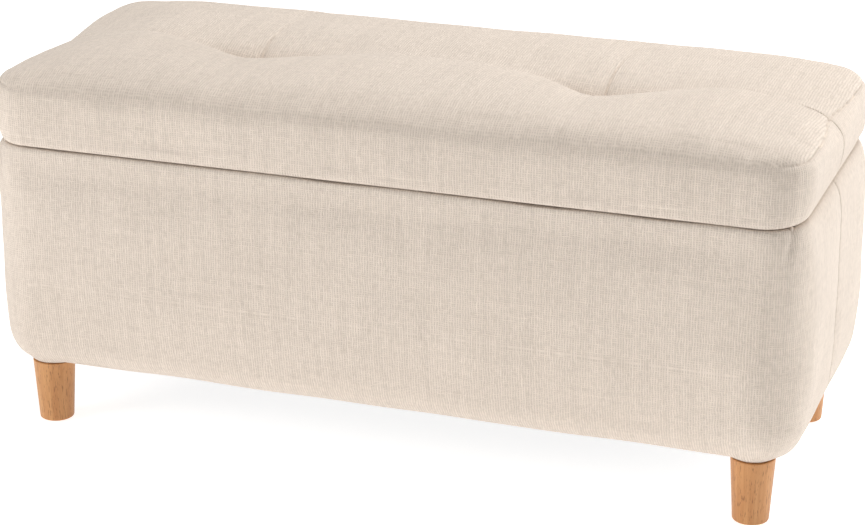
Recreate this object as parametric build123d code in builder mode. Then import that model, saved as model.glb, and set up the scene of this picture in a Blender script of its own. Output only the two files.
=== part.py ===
"""Upholstered storage bench: a padded box on four tapered wooden legs, closed by a padded, tufted lid.

Millimetres. +X runs along the bench's length, the front faces -Y and +Z is up. The origin is on the floor,
under the middle of the bench. The lid turns about a hinge line along X at the back of the rim, and two folding
stays steady it. Each stay is a parallelogram with the hinge line, so its arms turn exactly as far as the lid.
"""

import os

from build123d import *

os.makedirs("parts", exist_ok=True)

# ---- Driving dimensions ----
LENGTH = 906.0  # padded base, along X
DEPTH = 366.0  # padded base, along Y
BASE_Z = 72.0  # underside of the padded base
RIM_Z = 331.0  # top of the padded rim
LID_Z = 334.0  # underside of the lid
LID_EDGE_Z = 412.0  # top of the lid at its front and rear edges
LID_TOP_Z = 426.0  # top of the crowned lid
LID_LENGTH = 898.0
LID_DEPTH = 364.0
CORNER_RADIUS = 50.0  # of the padded base and the lid, seen from above

FABRIC = 1.5  # thickness of the upholstery cloth and of the lining
PADDING = 23.0  # from the outside of the cloth to the wooden box
PANEL = 12.0  # box walls and lid board
BOTTOM = 15.0  # bottom board
BOX_Z = 95.0  # lower edge of the walls and underside of the bottom board
BOX_CORNER = 6.0  # rounding of the wooden box's upright corners
WRAP = 40.0  # depth of the cloth turned in over the rim
FIT = 0.05  # radial clearance of a running fit, and of a fastener in its hole
BIG = 1200.0  # larger than the bench, for cutting tools

SHOULDER_Z = 200.0  # below this height the base tapers in
TAPER = 4.0  # degrees
BASE_EDGE_RADIUS = 30.0
RIM_EDGE_RADIUS = 14.0
LID_TOP_RADIUS = 34.0
LID_BOTTOM_RADIUS = 18.0

SIDES = {"left": -1, "right": 1}
ENDS = {"front": -1, "rear": 1}

# ---- Worked-out dimensions ----
BOX_X = LENGTH / 2 - PADDING  # half-lengths and half-depths from here on
BOX_Y = DEPTH / 2 - PADDING
BOX_TOP_Z = RIM_Z - FABRIC
CAVITY_X = BOX_X - PANEL
CAVITY_Y = BOX_Y - PANEL
FLOOR_Z = BOX_Z + BOTTOM
INSIDE_X = CAVITY_X - FABRIC  # inner faces of the lining
INSIDE_Y = CAVITY_Y - FABRIC
WRAP_Z = RIM_Z - WRAP


# ---- Helpers ----
def save(builder, label):
    """Labels a finished piece and writes its STEP file."""
    builder.part.label = label
    export_step(builder.part, f"parts/{label}.step")


def block(low, high, mode=Mode.ADD):
    """A box between two opposite corners, for the builder around the call."""
    with Locations(tuple((a + b) / 2 for a, b in zip(low, high))):
        Box(*(b - a for a, b in zip(low, high)), mode=mode)


def disc(centre, radius, z_low, z_high, mode=Mode.ADD):
    """An upright cylinder between two heights, for the builder around the call."""
    with Locations((*centre, (z_low + z_high) / 2)):
        Cylinder(radius, z_high - z_low, mode=mode)


# ---- Soft outlines ----
def base_form(inset):
    """Padded base as one solid, drawn in by inset: straight above the shoulder, tapering below it."""
    length, depth = LENGTH - 2 * inset, DEPTH - 2 * inset
    with BuildPart() as form:
        with BuildSketch(Plane.XY.offset(SHOULDER_Z)):
            RectangleRounded(length, depth, CORNER_RADIUS - inset)
        extrude(amount=RIM_Z - inset - SHOULDER_Z)
        with BuildSketch(Plane.XY.offset(SHOULDER_Z).reverse()):
            RectangleRounded(length, depth, CORNER_RADIUS - inset)
        extrude(amount=SHOULDER_Z - BASE_Z - inset, taper=TAPER)
        fillet(form.edges().group_by(Axis.Z)[0], BASE_EDGE_RADIUS - inset)
        fillet(form.edges().group_by(Axis.Z)[-1], RIM_EDGE_RADIUS - inset)
    return form.part


TUFT_X = 197.0  # each tuft's distance from the middle
TUFT_MOUTH = 42.0  # radius to the middle of the hollow's rolled lip
TUFT_DEPTH = 38.0
LIP_RISE = 2.0  # the rolled lip would reach this far above the lid's crown
TUFT_PIT = 2.0  # depth of the small pit under the lip


def lid_form(inset):
    """Padded lid as one solid, drawn in by inset: crowned from front to rear, with two hollows in its top."""
    half_depth = LID_DEPTH / 2 - inset
    edge_z = LID_EDGE_Z - inset
    hollow_z = LID_TOP_Z - TUFT_DEPTH
    lip_radius = TUFT_DEPTH + LIP_RISE - inset
    with BuildPart() as form:
        with BuildSketch(Plane.XY.offset(LID_Z + inset)):
            RectangleRounded(LID_LENGTH - 2 * inset, 2 * half_depth, CORNER_RADIUS - inset)
        extrude(amount=LID_TOP_Z - LID_Z)
        with BuildSketch(Plane.YZ):
            with BuildLine():
                ThreePointArc((-half_depth, edge_z), (0, LID_TOP_Z - inset), (half_depth, edge_z))
                Polyline((half_depth, edge_z), (half_depth, 0), (-half_depth, 0), (-half_depth, edge_z))
            make_face()
        extrude(amount=BIG, both=True, mode=Mode.INTERSECT)
        fillet(form.edges().group_by(Axis.Z)[0], LID_BOTTOM_RADIUS - inset)
        fillet(form.faces().sort_by(Axis.Z)[-1].edges(), LID_TOP_RADIUS - inset)
        for side in SIDES.values():
            with BuildSketch(Plane(origin=(side * TUFT_X, 0, 0), z_dir=(0, -1, 0), x_dir=(1, 0, 0))):
                with BuildLine():
                    CenterArc((TUFT_MOUTH, hollow_z), lip_radius, 90, 90)
                    Polyline(
                        (TUFT_MOUTH, hollow_z + lip_radius),
                        (TUFT_MOUTH, LID_TOP_Z + PADDING),
                        (0, LID_TOP_Z + PADDING),
                        (0, hollow_z - TUFT_PIT - inset),
                        (TUFT_MOUTH - lip_radius, hollow_z - TUFT_PIT - inset),
                        (TUFT_MOUTH - lip_radius, hollow_z),
                    )
                make_face()
            revolve(axis=Axis((side * TUFT_X, 0, 0), (0, 0, 1)), mode=Mode.SUBTRACT)
    return form.part


base_outside = base_form(0)
base_inside = base_form(FABRIC)
lid_outside = lid_form(0)
lid_inside = lid_form(FABRIC)


# ---- Countersunk screws, and the holes they fit in ----
def countersunk_screw(head, shank, length, slack=0.0):
    """A screw whose flat head lies at Z = 0 with its shank below, or with some slack the hole for it."""
    mouth = [(head + slack, slack)] if slack else []
    with BuildPart() as screw:
        with BuildSketch(Plane.XZ):
            with BuildLine():
                Polyline(
                    (0, slack),
                    *mouth,
                    (head + slack, 0),
                    (shank + slack, shank - head),
                    (shank + slack, -length - slack),
                    (0, -length - slack),
                    close=True,
                )
            make_face()
        revolve(axis=Axis.Z)
    return screw.part


def screws(places, head, shank, length):
    """A group of equal screws, as one part."""
    body = countersunk_screw(head, shank, length)
    with BuildPart() as group:
        with Locations(places):
            add(body)
    return group


WOOD_SCREW = {"head": 3.6, "shank": 1.9, "length": 35.0}
HINGE_BASE_SCREW = {"head": 3.2, "shank": 1.6, "length": 22.0}
HINGE_LID_SCREW = {"head": 3.2, "shank": 1.6, "length": 11.0}
STAY_SCREW = {"head": 3.0, "shank": 1.5, "length": 10.0}
wood_hole = countersunk_screw(**WOOD_SCREW, slack=FIT)
hinge_base_hole = countersunk_screw(**HINGE_BASE_SCREW, slack=FIT)
hinge_lid_hole = countersunk_screw(**HINGE_LID_SCREW, slack=FIT)
stay_hole = countersunk_screw(**STAY_SCREW, slack=FIT)

# ---- Where the box screws go ----
RAIL_X = 412.0  # outer edge of the rails under the bottom board
RAIL_Y = 142.0
RAIL_WIDTH = 45.0
RAIL_Z = BASE_Z + FABRIC
HEAD_SINK = 0.3  # a screw head lies this far below the wood's surface
BOARD_SCREW_Z = BOX_Z + BOTTOM / 2
WALL_SCREW_ZS = (130.0, 215.0, 300.0)
BOARD_SCREW_XS = (-330.0, -110.0, 110.0, 330.0)
BOARD_SCREW_YS = (-80.0, 80.0)
RAIL_SCREW_XS = (-300.0, -100.0, 100.0, 300.0)
RAIL_SCREW_YS = (-50.0, 50.0)


def facing(point, direction):
    """A place whose Z axis points along direction."""
    return Location(Plane(origin=point, z_dir=direction))


wall_points = [(side * (BOX_X - PANEL / 2), z) for side in SIDES.values() for z in WALL_SCREW_ZS]
wall_points += [(x, BOARD_SCREW_Z) for x in BOARD_SCREW_XS]
wall_screw_places = [
    facing((x, end * (BOX_Y - HEAD_SINK), z), (0, end, 0)) for end in ENDS.values() for x, z in wall_points
]
wall_screw_places += [
    facing((side * (BOX_X - HEAD_SINK), y, BOARD_SCREW_Z), (side, 0, 0))
    for side in SIDES.values()
    for y in BOARD_SCREW_YS
]
rail_points = [(x, end * (RAIL_Y - RAIL_WIDTH / 2)) for end in ENDS.values() for x in RAIL_SCREW_XS]
rail_points += [(side * (RAIL_X - RAIL_WIDTH / 2), y) for side in SIDES.values() for y in RAIL_SCREW_YS]
rail_screw_places = [facing((x, y, RAIL_Z + HEAD_SINK), (0, 0, -1)) for x, y in rail_points]
save(screws(wall_screw_places + rail_screw_places, **WOOD_SCREW), "box_screws")

# ---- Where the hinges and stays go ----
HINGE_X = 270.0  # middle of each hinge
HINGE_LENGTH = 72.0
HINGE_Y = DEPTH / 2 - 4.0
HINGE_Z = (RIM_Z + LID_Z) / 2
KNUCKLE_RADIUS = 3.8
PIN_RADIUS = 1.9
LEAF = 1.3  # leaf thickness
LEAF_FRONT_Y = 149.0
LEAF_SCREW_Y = BOX_Y - PANEL / 2
LEAF_SCREW_XS = (-26.0, 0.0, 26.0)
leaf_points = [(side * HINGE_X + x, LEAF_SCREW_Y) for side in SIDES.values() for x in LEAF_SCREW_XS]
hinge_base_places = [facing((x, y, RIM_Z + LEAF), (0, 0, 1)) for x, y in leaf_points]
hinge_lid_places = [facing((x, y, LID_Z - LEAF), (0, 0, -1)) for x, y in leaf_points]

# A is the pivot on the box, B the pivot on the lid and C the pivot between the arms, as (y, z). The hinge line,
# A, C and B are the corners of a parallelogram.
STAY_A = (HINGE_Y - 75.0, HINGE_Z - 62.5)
STAY_B = (HINGE_Y - 150.0, HINGE_Z - 12.5)
STAY_C = (STAY_A[0] + STAY_B[0] - HINGE_Y, STAY_A[1] + STAY_B[1] - HINGE_Z)
STAY_PLATE = 2.0  # thickness of the brackets and arms
BRACKET_GAP = 0.8  # between the bracket on the box and the lower arm
ARM_GAP = 0.5  # between the arms, and between the upper arm and the lid bracket
BRACKET_X = INSIDE_X - STAY_PLATE / 2  # middle of the plate on the box
LOWER_X = BRACKET_X - STAY_PLATE - BRACKET_GAP  # middle of the lower arm
UPPER_X = LOWER_X - STAY_PLATE - ARM_GAP  # middle of the upper arm
FLANGE_X = UPPER_X - STAY_PLATE - ARM_GAP  # middle of the lid bracket's hanging flange
FLANGE_WIDTH = 22.0
FLANGE_HALF_LENGTH = 15.0
PLATE_SCREW_RISE = 15.0  # each plate screw's height above or below pivot A
FLANGE_SCREW_REACH = 9.0  # each flange screw's distance from pivot B
stay_base_places = [
    facing((side * (INSIDE_X - STAY_PLATE), STAY_A[0], STAY_A[1] + dz), (-side, 0, 0))
    for side in SIDES.values()
    for dz in (-PLATE_SCREW_RISE, PLATE_SCREW_RISE)
]
stay_lid_places = [
    facing((side * (FLANGE_X - FLANGE_WIDTH / 2), STAY_B[0] + dy, LID_Z - STAY_PLATE), (0, 0, -1))
    for side in SIDES.values()
    for dy in (-FLANGE_SCREW_REACH, FLANGE_SCREW_REACH)
]
save(screws(hinge_base_places, **HINGE_BASE_SCREW), "hinge_base_screws")
save(screws(hinge_lid_places, **HINGE_LID_SCREW), "hinge_lid_screws")
save(screws(stay_base_places, **STAY_SCREW), "stay_base_screws")
save(screws(stay_lid_places, **STAY_SCREW), "stay_lid_screws")

# ---- Legs and what holds them ----
LEG_X = 398.0
LEG_Y = 137.0
LEG_TOP_RADIUS = 23.4
LEG_FOOT_RADIUS = 19.0
LEG_FOOT_Z = 1.0  # the glide stands proud of the foot by this much
LEG_FOOT_ROUND = 2.0
LEG_TOP_ROUND = 1.0
BOLT_RADIUS = 4.0
BOLT_Z = (42.0, FLOOR_Z - 2.0)
GLIDE_RADIUS = 14.0
GLIDE_HEIGHT = 4.0
GLIDE_ROUND = 0.8
NUT_BARREL_RADIUS = 5.0
NUT_FLANGE_RADIUS = 9.0
NUT_FLANGE = 1.5
NUT_Z = FLOOR_Z - 13.0
leg_points = {
    f"{end_name}_{side_name}": (side * LEG_X, end * LEG_Y)
    for end_name, end in ENDS.items()
    for side_name, side in SIDES.items()
}

for name, centre in leg_points.items():
    with BuildPart() as leg:
        with BuildSketch(Plane(origin=(*centre, 0), z_dir=(0, -1, 0), x_dir=(1, 0, 0))):
            with BuildLine():
                Polyline(
                    (0, LEG_FOOT_Z),
                    (LEG_FOOT_RADIUS, LEG_FOOT_Z),
                    (LEG_TOP_RADIUS, BASE_Z),
                    (0, BASE_Z),
                    close=True,
                )
            make_face()
        revolve(axis=Axis((*centre, 0), (0, 0, 1)))
        fillet(leg.edges().group_by(Axis.Z)[0], LEG_FOOT_ROUND)
        fillet(leg.edges().group_by(Axis.Z)[-1], LEG_TOP_ROUND)
        disc(centre, BOLT_RADIUS + FIT, BOLT_Z[0] - 2, BASE_Z, Mode.SUBTRACT)
        disc(centre, GLIDE_RADIUS + FIT, 0, GLIDE_HEIGHT, Mode.SUBTRACT)
    save(leg, f"leg_{name}")

with BuildPart() as leg_bolts:
    for centre in leg_points.values():
        disc(centre, BOLT_RADIUS, *BOLT_Z)
save(leg_bolts, "leg_hanger_bolts")

with BuildPart() as leg_nuts:
    for centre in leg_points.values():
        disc(centre, NUT_BARREL_RADIUS, NUT_Z, FLOOR_Z)
        disc(centre, NUT_FLANGE_RADIUS, FLOOR_Z - NUT_FLANGE, FLOOR_Z)
        disc(centre, BOLT_RADIUS + FIT, BASE_Z, FLOOR_Z + 1, Mode.SUBTRACT)
save(leg_nuts, "leg_tee_nuts")

with BuildPart() as leg_glides:
    for centre in leg_points.values():
        disc(centre, GLIDE_RADIUS, 0, GLIDE_HEIGHT)
    fillet(leg_glides.edges().group_by(Axis.Z)[0], GLIDE_ROUND)
save(leg_glides, "leg_glides")

# ---- Wooden box ----
for name, end in ENDS.items():
    with BuildPart() as wall:
        y_faces = sorted((end * BOX_Y, end * CAVITY_Y))
        block((-BOX_X, y_faces[0], BOX_Z), (BOX_X, y_faces[1], BOX_TOP_Z))
        outer_face = wall.faces().filter_by(Axis.Y).sort_by(Axis.Y)[0 if end < 0 else -1]
        fillet(outer_face.edges().filter_by(Axis.Z), BOX_CORNER)
        with Locations(wall_screw_places):
            add(wood_hole, mode=Mode.SUBTRACT)
        with Locations(hinge_base_places):
            add(hinge_base_hole, mode=Mode.SUBTRACT)
    save(wall, f"frame_{name}_panel")

for name, side in SIDES.items():
    with BuildPart() as wall:
        x_faces = sorted((side * BOX_X, side * CAVITY_X))
        block((x_faces[0], -CAVITY_Y, BOX_Z), (x_faces[1], CAVITY_Y, BOX_TOP_Z))
        with Locations(wall_screw_places):
            add(wood_hole, mode=Mode.SUBTRACT)
        with Locations(stay_base_places):
            add(stay_hole, mode=Mode.SUBTRACT)
    save(wall, f"frame_{name}_panel")

with BuildPart() as bottom_board:
    block((-CAVITY_X, -CAVITY_Y, BOX_Z), (CAVITY_X, CAVITY_Y, FLOOR_Z))
    with Locations(wall_screw_places + rail_screw_places):
        add(wood_hole, mode=Mode.SUBTRACT)
    for centre in leg_points.values():
        disc(centre, NUT_BARREL_RADIUS + FIT, BOX_Z, FLOOR_Z, Mode.SUBTRACT)
        disc(centre, NUT_FLANGE_RADIUS + FIT, FLOOR_Z - NUT_FLANGE, FLOOR_Z, Mode.SUBTRACT)
save(bottom_board, "bottom_board")

RAIL_CORNER = 8.0
for name, end in ENDS.items():
    with BuildPart() as rail:
        y_faces = sorted((end * RAIL_Y, end * (RAIL_Y - RAIL_WIDTH)))
        block((-RAIL_X, y_faces[0], RAIL_Z), (RAIL_X, y_faces[1], BOX_Z))
        outer_face = rail.faces().filter_by(Axis.Y).sort_by(Axis.Y)[0 if end < 0 else -1]
        fillet(outer_face.edges().filter_by(Axis.Z), RAIL_CORNER)
        with Locations(rail_screw_places):
            add(wood_hole, mode=Mode.SUBTRACT)
        for centre in leg_points.values():
            disc(centre, BOLT_RADIUS + FIT, RAIL_Z, BOX_Z, Mode.SUBTRACT)
    save(rail, f"rail_{name}")

for name, side in SIDES.items():
    with BuildPart() as rail:
        x_faces = sorted((side * RAIL_X, side * (RAIL_X - RAIL_WIDTH)))
        rail_end_y = RAIL_Y - RAIL_WIDTH
        block((x_faces[0], -rail_end_y, RAIL_Z), (x_faces[1], rail_end_y, BOX_Z))
        with Locations(rail_screw_places):
            add(wood_hole, mode=Mode.SUBTRACT)
    save(rail, f"rail_{name}")

# ---- Base padding: four pieces mitred through the corners ----
MITRE_X = LENGTH / 2 - DEPTH / 2  # where the mitre lines of one end meet
end_wedge = [(MITRE_X, 0), (MITRE_X + BIG, -BIG), (MITRE_X + BIG, BIG)]
front_wedge = [(-MITRE_X, 0), (-MITRE_X - BIG, -BIG), (MITRE_X + BIG, -BIG), (MITRE_X, 0)]
wedges = {
    "front": front_wedge,
    "rear": [(x, -y) for x, y in front_wedge],
    "left": [(-x, y) for x, y in end_wedge],
    "right": end_wedge,
}
for name, wedge in wedges.items():
    with BuildPart() as foam:
        add(base_inside)
        block((-BOX_X, -BOX_Y, BOX_Z), (BOX_X, BOX_Y, BIG), Mode.SUBTRACT)
        block((-RAIL_X, -RAIL_Y, 0), (RAIL_X, RAIL_Y, BOX_Z), Mode.SUBTRACT)
        with BuildSketch():
            with BuildLine():
                Polyline(*wedge, close=True)
            make_face()
        extrude(amount=BIG, mode=Mode.INTERSECT)
    save(foam, f"base_foam_{name}")

# ---- Base cover: two halves sewn together at the middle of each end ----
BAND_X = 375.0  # inner edge of the cloth turned in under the base
BAND_Y = 102.0
for name, end in ENDS.items():
    with BuildPart() as cover:
        add(base_outside)
        add(base_inside, mode=Mode.SUBTRACT)
        block((-INSIDE_X, -INSIDE_Y, RIM_Z - PANEL), (INSIDE_X, INSIDE_Y, RIM_Z), Mode.SUBTRACT)
        block((-BAND_X, -BAND_Y, 0), (BAND_X, BAND_Y, BOX_Z), Mode.SUBTRACT)
        for x_faces in ((-CAVITY_X, -INSIDE_X), (INSIDE_X, CAVITY_X)):
            block((x_faces[0], -CAVITY_Y, WRAP_Z), (x_faces[1], CAVITY_Y, BOX_TOP_Z))
        for y_faces in ((-CAVITY_Y, -INSIDE_Y), (INSIDE_Y, CAVITY_Y)):
            block((-CAVITY_X, y_faces[0], WRAP_Z), (CAVITY_X, y_faces[1], BOX_TOP_Z))
        with Locations(hinge_base_places):
            add(hinge_base_hole, mode=Mode.SUBTRACT)
        for centre in leg_points.values():
            disc(centre, BOLT_RADIUS + FIT, 0, BOX_Z, Mode.SUBTRACT)
        y_faces = sorted((0, end * BIG))
        block((-BIG, y_faces[0], 0), (BIG, y_faces[1], BIG), Mode.INTERSECT)
    save(cover, f"base_cover_{name}")

DUST_COVER = 1.0  # its thickness
DUST_COVER_X = BAND_X + 15.0
DUST_COVER_Y = BAND_Y + 10.0
DUST_COVER_CORNER = 6.0
with BuildPart() as dust_cover:
    block((-DUST_COVER_X, -DUST_COVER_Y, BASE_Z - DUST_COVER), (DUST_COVER_X, DUST_COVER_Y, BASE_Z))
    fillet(dust_cover.edges().filter_by(Axis.Z), DUST_COVER_CORNER)
save(dust_cover, "dust_cover")

# ---- Lining inside the box ----
LINING_GAP = 0.5  # between the lining's top edge and the cloth turned in over the rim
LINING_TOP_Z = WRAP_Z - LINING_GAP
with BuildPart() as lining_floor:
    block((-CAVITY_X, -CAVITY_Y, FLOOR_Z), (CAVITY_X, CAVITY_Y, FLOOR_Z + FABRIC))
save(lining_floor, "lining_floor")

for name, end in ENDS.items():
    with BuildPart() as lining:
        y_faces = sorted((end * CAVITY_Y, end * INSIDE_Y))
        block((-CAVITY_X, y_faces[0], FLOOR_Z + FABRIC), (CAVITY_X, y_faces[1], LINING_TOP_Z))
    save(lining, f"lining_{name}")

for name, side in SIDES.items():
    with BuildPart() as lining:
        x_faces = sorted((side * CAVITY_X, side * INSIDE_X))
        block((x_faces[0], -INSIDE_Y, FLOOR_Z + FABRIC), (x_faces[1], INSIDE_Y, LINING_TOP_Z))
        with Locations(stay_base_places):
            add(stay_hole, mode=Mode.SUBTRACT)
    save(lining, f"lining_{name}")

BUMPER_X = 385.0
BUMPER_RADIUS = 5.0
BUMPER_HEIGHT = 2.7
BUMPER_ROUND = 0.8
with BuildPart() as rim_bumpers:
    for side in SIDES.values():
        for end in ENDS.values():
            disc((side * BUMPER_X, end * LEAF_SCREW_Y), BUMPER_RADIUS, RIM_Z, RIM_Z + BUMPER_HEIGHT)
    fillet(rim_bumpers.edges().group_by(Axis.Z)[-1], BUMPER_ROUND)
save(rim_bumpers, "rim_bumpers")

# ---- Lid board, padding, lining and tuft ties ----
BOARD_INSET = 22.0
BOARD_CORNER = 30.0
BOARD_Z = LID_Z + FABRIC
BOARD_TOP_Z = BOARD_Z + PANEL
CORD_RADIUS = 1.0
WASHER_RADIUS = 9.0
WASHER = 2.0
KNOT_RADIUS = 2.5
KNOT_GAP = 0.1  # between a knot and the lid's lining
HOLLOW_Z = LID_TOP_Z - TUFT_DEPTH - TUFT_PIT
tuft_points = [(side * TUFT_X, 0) for side in SIDES.values()]

with BuildPart() as board_blank:
    with BuildSketch(Plane.XY.offset(BOARD_Z)):
        RectangleRounded(LID_LENGTH - 2 * BOARD_INSET, LID_DEPTH - 2 * BOARD_INSET, BOARD_CORNER)
    extrude(amount=PANEL)

with BuildPart() as lid_board:
    add(board_blank.part)
    with Locations(hinge_lid_places):
        add(hinge_lid_hole, mode=Mode.SUBTRACT)
    with Locations(stay_lid_places):
        add(stay_hole, mode=Mode.SUBTRACT)
    for centre in tuft_points:
        disc(centre, WASHER_RADIUS + FIT, BOARD_Z, BOARD_Z + WASHER, Mode.SUBTRACT)
        disc(centre, CORD_RADIUS + FIT, BOARD_Z, BOARD_TOP_Z, Mode.SUBTRACT)
save(lid_board, "lid_board")

with BuildPart() as lid_foam:
    add(lid_inside)
    add(board_blank.part, mode=Mode.SUBTRACT)
    for centre in tuft_points:
        disc(centre, CORD_RADIUS + FIT, BOARD_Z, HOLLOW_Z, Mode.SUBTRACT)
save(lid_foam, "lid_foam")

with BuildPart() as tuft_washers:
    for centre in tuft_points:
        disc(centre, WASHER_RADIUS, BOARD_Z, BOARD_Z + WASHER)
        disc(centre, CORD_RADIUS + FIT, BOARD_Z, BOARD_Z + WASHER, Mode.SUBTRACT)
save(tuft_washers, "tuft_washers")

with BuildPart() as tuft_cords:
    for centre in tuft_points:
        disc(centre, CORD_RADIUS, BOARD_Z, HOLLOW_Z - FABRIC)
        disc(centre, KNOT_RADIUS, LID_Z + KNOT_GAP, BOARD_Z)
save(tuft_cords, "tuft_cords")

LID_BAND_X = 372.0  # inner edge of the cloth turned in under the lid
LID_BAND_Y = 108.0
LID_LINING = 1.2  # its thickness
LID_LINING_X = LID_BAND_X + 12.0
LID_LINING_Y = LID_BAND_Y + 15.0
LID_LINING_CORNER = 8.0
with BuildPart() as lid_lining:
    block((-LID_LINING_X, -LID_LINING_Y, LID_Z - LID_LINING), (LID_LINING_X, LID_LINING_Y, LID_Z))
    fillet(lid_lining.edges().filter_by(Axis.Z), LID_LINING_CORNER)
save(lid_lining, "lid_lining")

# ---- Lid cover: three top panels above a seam, and a boxing strip in two halves below it ----
SEAM_Z = 394.0
TUFT_ZONE = (400.0, 130.0)  # inside this, all the cloth above the board belongs to the top panels
top_cuts = (-BIG, -TUFT_X, TUFT_X, BIG)
with BuildPart() as lid_skin:
    add(lid_outside)
    add(lid_inside, mode=Mode.SUBTRACT)
    block((-LID_BAND_X, -LID_BAND_Y, LID_Z - 1), (LID_BAND_X, LID_BAND_Y, BOARD_Z), Mode.SUBTRACT)
    with Locations(hinge_lid_places):
        add(hinge_lid_hole, mode=Mode.SUBTRACT)
    with Locations(stay_lid_places):
        add(stay_hole, mode=Mode.SUBTRACT)
with BuildPart() as top_zone:
    block((-BIG, -BIG, SEAM_Z), (BIG, BIG, LID_TOP_Z + PADDING))
    block((-TUFT_ZONE[0], -TUFT_ZONE[1], BOARD_TOP_Z), (*TUFT_ZONE, SEAM_Z))

for name, x_low, x_high in zip(("left", "middle", "right"), top_cuts, top_cuts[1:]):
    with BuildPart() as panel:
        add(lid_skin.part)
        add(top_zone.part, mode=Mode.INTERSECT)
        block((x_low, -BIG, 0), (x_high, BIG, BIG), Mode.INTERSECT)
    save(panel, f"lid_top_panel_{name}")

for name, end in ENDS.items():
    with BuildPart() as boxing:
        add(lid_skin.part)
        add(top_zone.part, mode=Mode.SUBTRACT)
        y_faces = sorted((0, end * BIG))
        block((-BIG, y_faces[0], 0), (BIG, y_faces[1], BIG), Mode.INTERSECT)
    save(boxing, f"lid_boxing_{name}")

# ---- Hinges: the base leaf has the two outer knuckles and the lid leaf the middle one ----
MIDDLE_KNUCKLE = 24.0
KNUCKLE_GAP = 0.3
KNUCKLE_ROOM = 0.5  # between a knuckle and the cut-out in the other leaf
LEAF_CORNER = 3.0
OUTER_KNUCKLE = (HINGE_LENGTH - MIDDLE_KNUCKLE) / 2 - KNUCKLE_GAP
OUTER_KNUCKLE_X = (HINGE_LENGTH - OUTER_KNUCKLE) / 2
PIN_CAP_RADIUS = 3.2
PIN_CAP = 1.0
PIN_CAP_GAP = 0.1
barrels = {
    "base": ((-OUTER_KNUCKLE_X, OUTER_KNUCKLE_X), OUTER_KNUCKLE),
    "lid": ((0,), MIDDLE_KNUCKLE),
}
leaf_z = {"base": (RIM_Z, RIM_Z + LEAF), "lid": (LID_Z - LEAF, LID_Z)}


def on_hinge_line(x):
    """A place on the hinge line whose Z axis runs along X."""
    return Location((x, HINGE_Y, HINGE_Z), (0, 90, 0))


for name, side in SIDES.items():
    hinge_x = side * HINGE_X
    for half, other in (("base", "lid"), ("lid", "base")):
        z_low, z_high = leaf_z[half]
        own_xs, own_length = barrels[half]
        other_xs, other_length = barrels[other]
        with BuildPart() as leaf:
            half_length = HINGE_LENGTH / 2
            block((hinge_x - half_length, LEAF_FRONT_Y, z_low), (hinge_x + half_length, HINGE_Y, z_high))
            fillet(leaf.edges().filter_by(Axis.Z).group_by(Axis.Y)[0], LEAF_CORNER)
            for x in other_xs:
                reach = other_length / 2 + KNUCKLE_GAP
                room_y = HINGE_Y - KNUCKLE_RADIUS - KNUCKLE_ROOM
                block(
                    (hinge_x + x - reach, room_y, z_low), (hinge_x + x + reach, HINGE_Y, z_high), Mode.SUBTRACT
                )
            with Locations([on_hinge_line(hinge_x + x) for x in own_xs]):
                Cylinder(KNUCKLE_RADIUS, own_length)
            with Locations(on_hinge_line(hinge_x)):
                Cylinder(PIN_RADIUS + FIT, HINGE_LENGTH + 2, mode=Mode.SUBTRACT)
            with Locations(hinge_base_places if half == "base" else hinge_lid_places):
                add(hinge_base_hole if half == "base" else hinge_lid_hole, mode=Mode.SUBTRACT)
        save(leaf, f"hinge_{name}_{half}_leaf")
    with BuildPart() as pin:
        cap_x = (HINGE_LENGTH + PIN_CAP) / 2 + PIN_CAP_GAP
        with Locations(on_hinge_line(hinge_x)):
            Cylinder(PIN_RADIUS, 2 * cap_x)
        with Locations([on_hinge_line(hinge_x + end * cap_x) for end in (-1, 1)]):
            Cylinder(PIN_CAP_RADIUS, PIN_CAP)
    save(pin, f"hinge_{name}_pin")

# ---- Folding stays ----
ARM_HALF_WIDTH = 7.5
RIVET_RADIUS = 3.0
RIVET_HEAD_RADIUS = 5.5
RIVET_HEAD = 1.5
RIVET_GAP = 0.2  # between a rivet's head and the arm it holds
PLATE_HALF = (13.0, 22.0)  # half-width and half-height of the plate on the box
PLATE_CORNER = 6.0
HEAD_OFFSET = STAY_PLATE / 2 + RIVET_GAP + RIVET_HEAD / 2


def across(x, point):
    """A place at a stay pivot whose Z axis runs along X."""
    return Location((x, *point), (0, 90, 0))


def rivet(side, point, own_x, head_x):
    """A rivet fixed in the plate at own_x whose head is centred at head_x, for the builder around the call."""
    with Locations(across(side * (own_x + head_x) / 2, point)):
        Cylinder(RIVET_RADIUS, abs(own_x - head_x))
    with Locations(across(side * head_x, point)):
        Cylinder(RIVET_HEAD_RADIUS, RIVET_HEAD)


def arm_bar(side, x, start, end, hole_points):
    """A flat bar with round ends between two pivots, as one solid."""
    with BuildPart() as bar:
        with BuildSketch(Plane.YZ.offset(side * x - STAY_PLATE / 2)):
            with Locations(start, end):
                Circle(ARM_HALF_WIDTH)
            make_hull()
            with Locations(*hole_points):
                Circle(RIVET_RADIUS + FIT, mode=Mode.SUBTRACT)
        extrude(amount=STAY_PLATE)
    return bar.part


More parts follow.
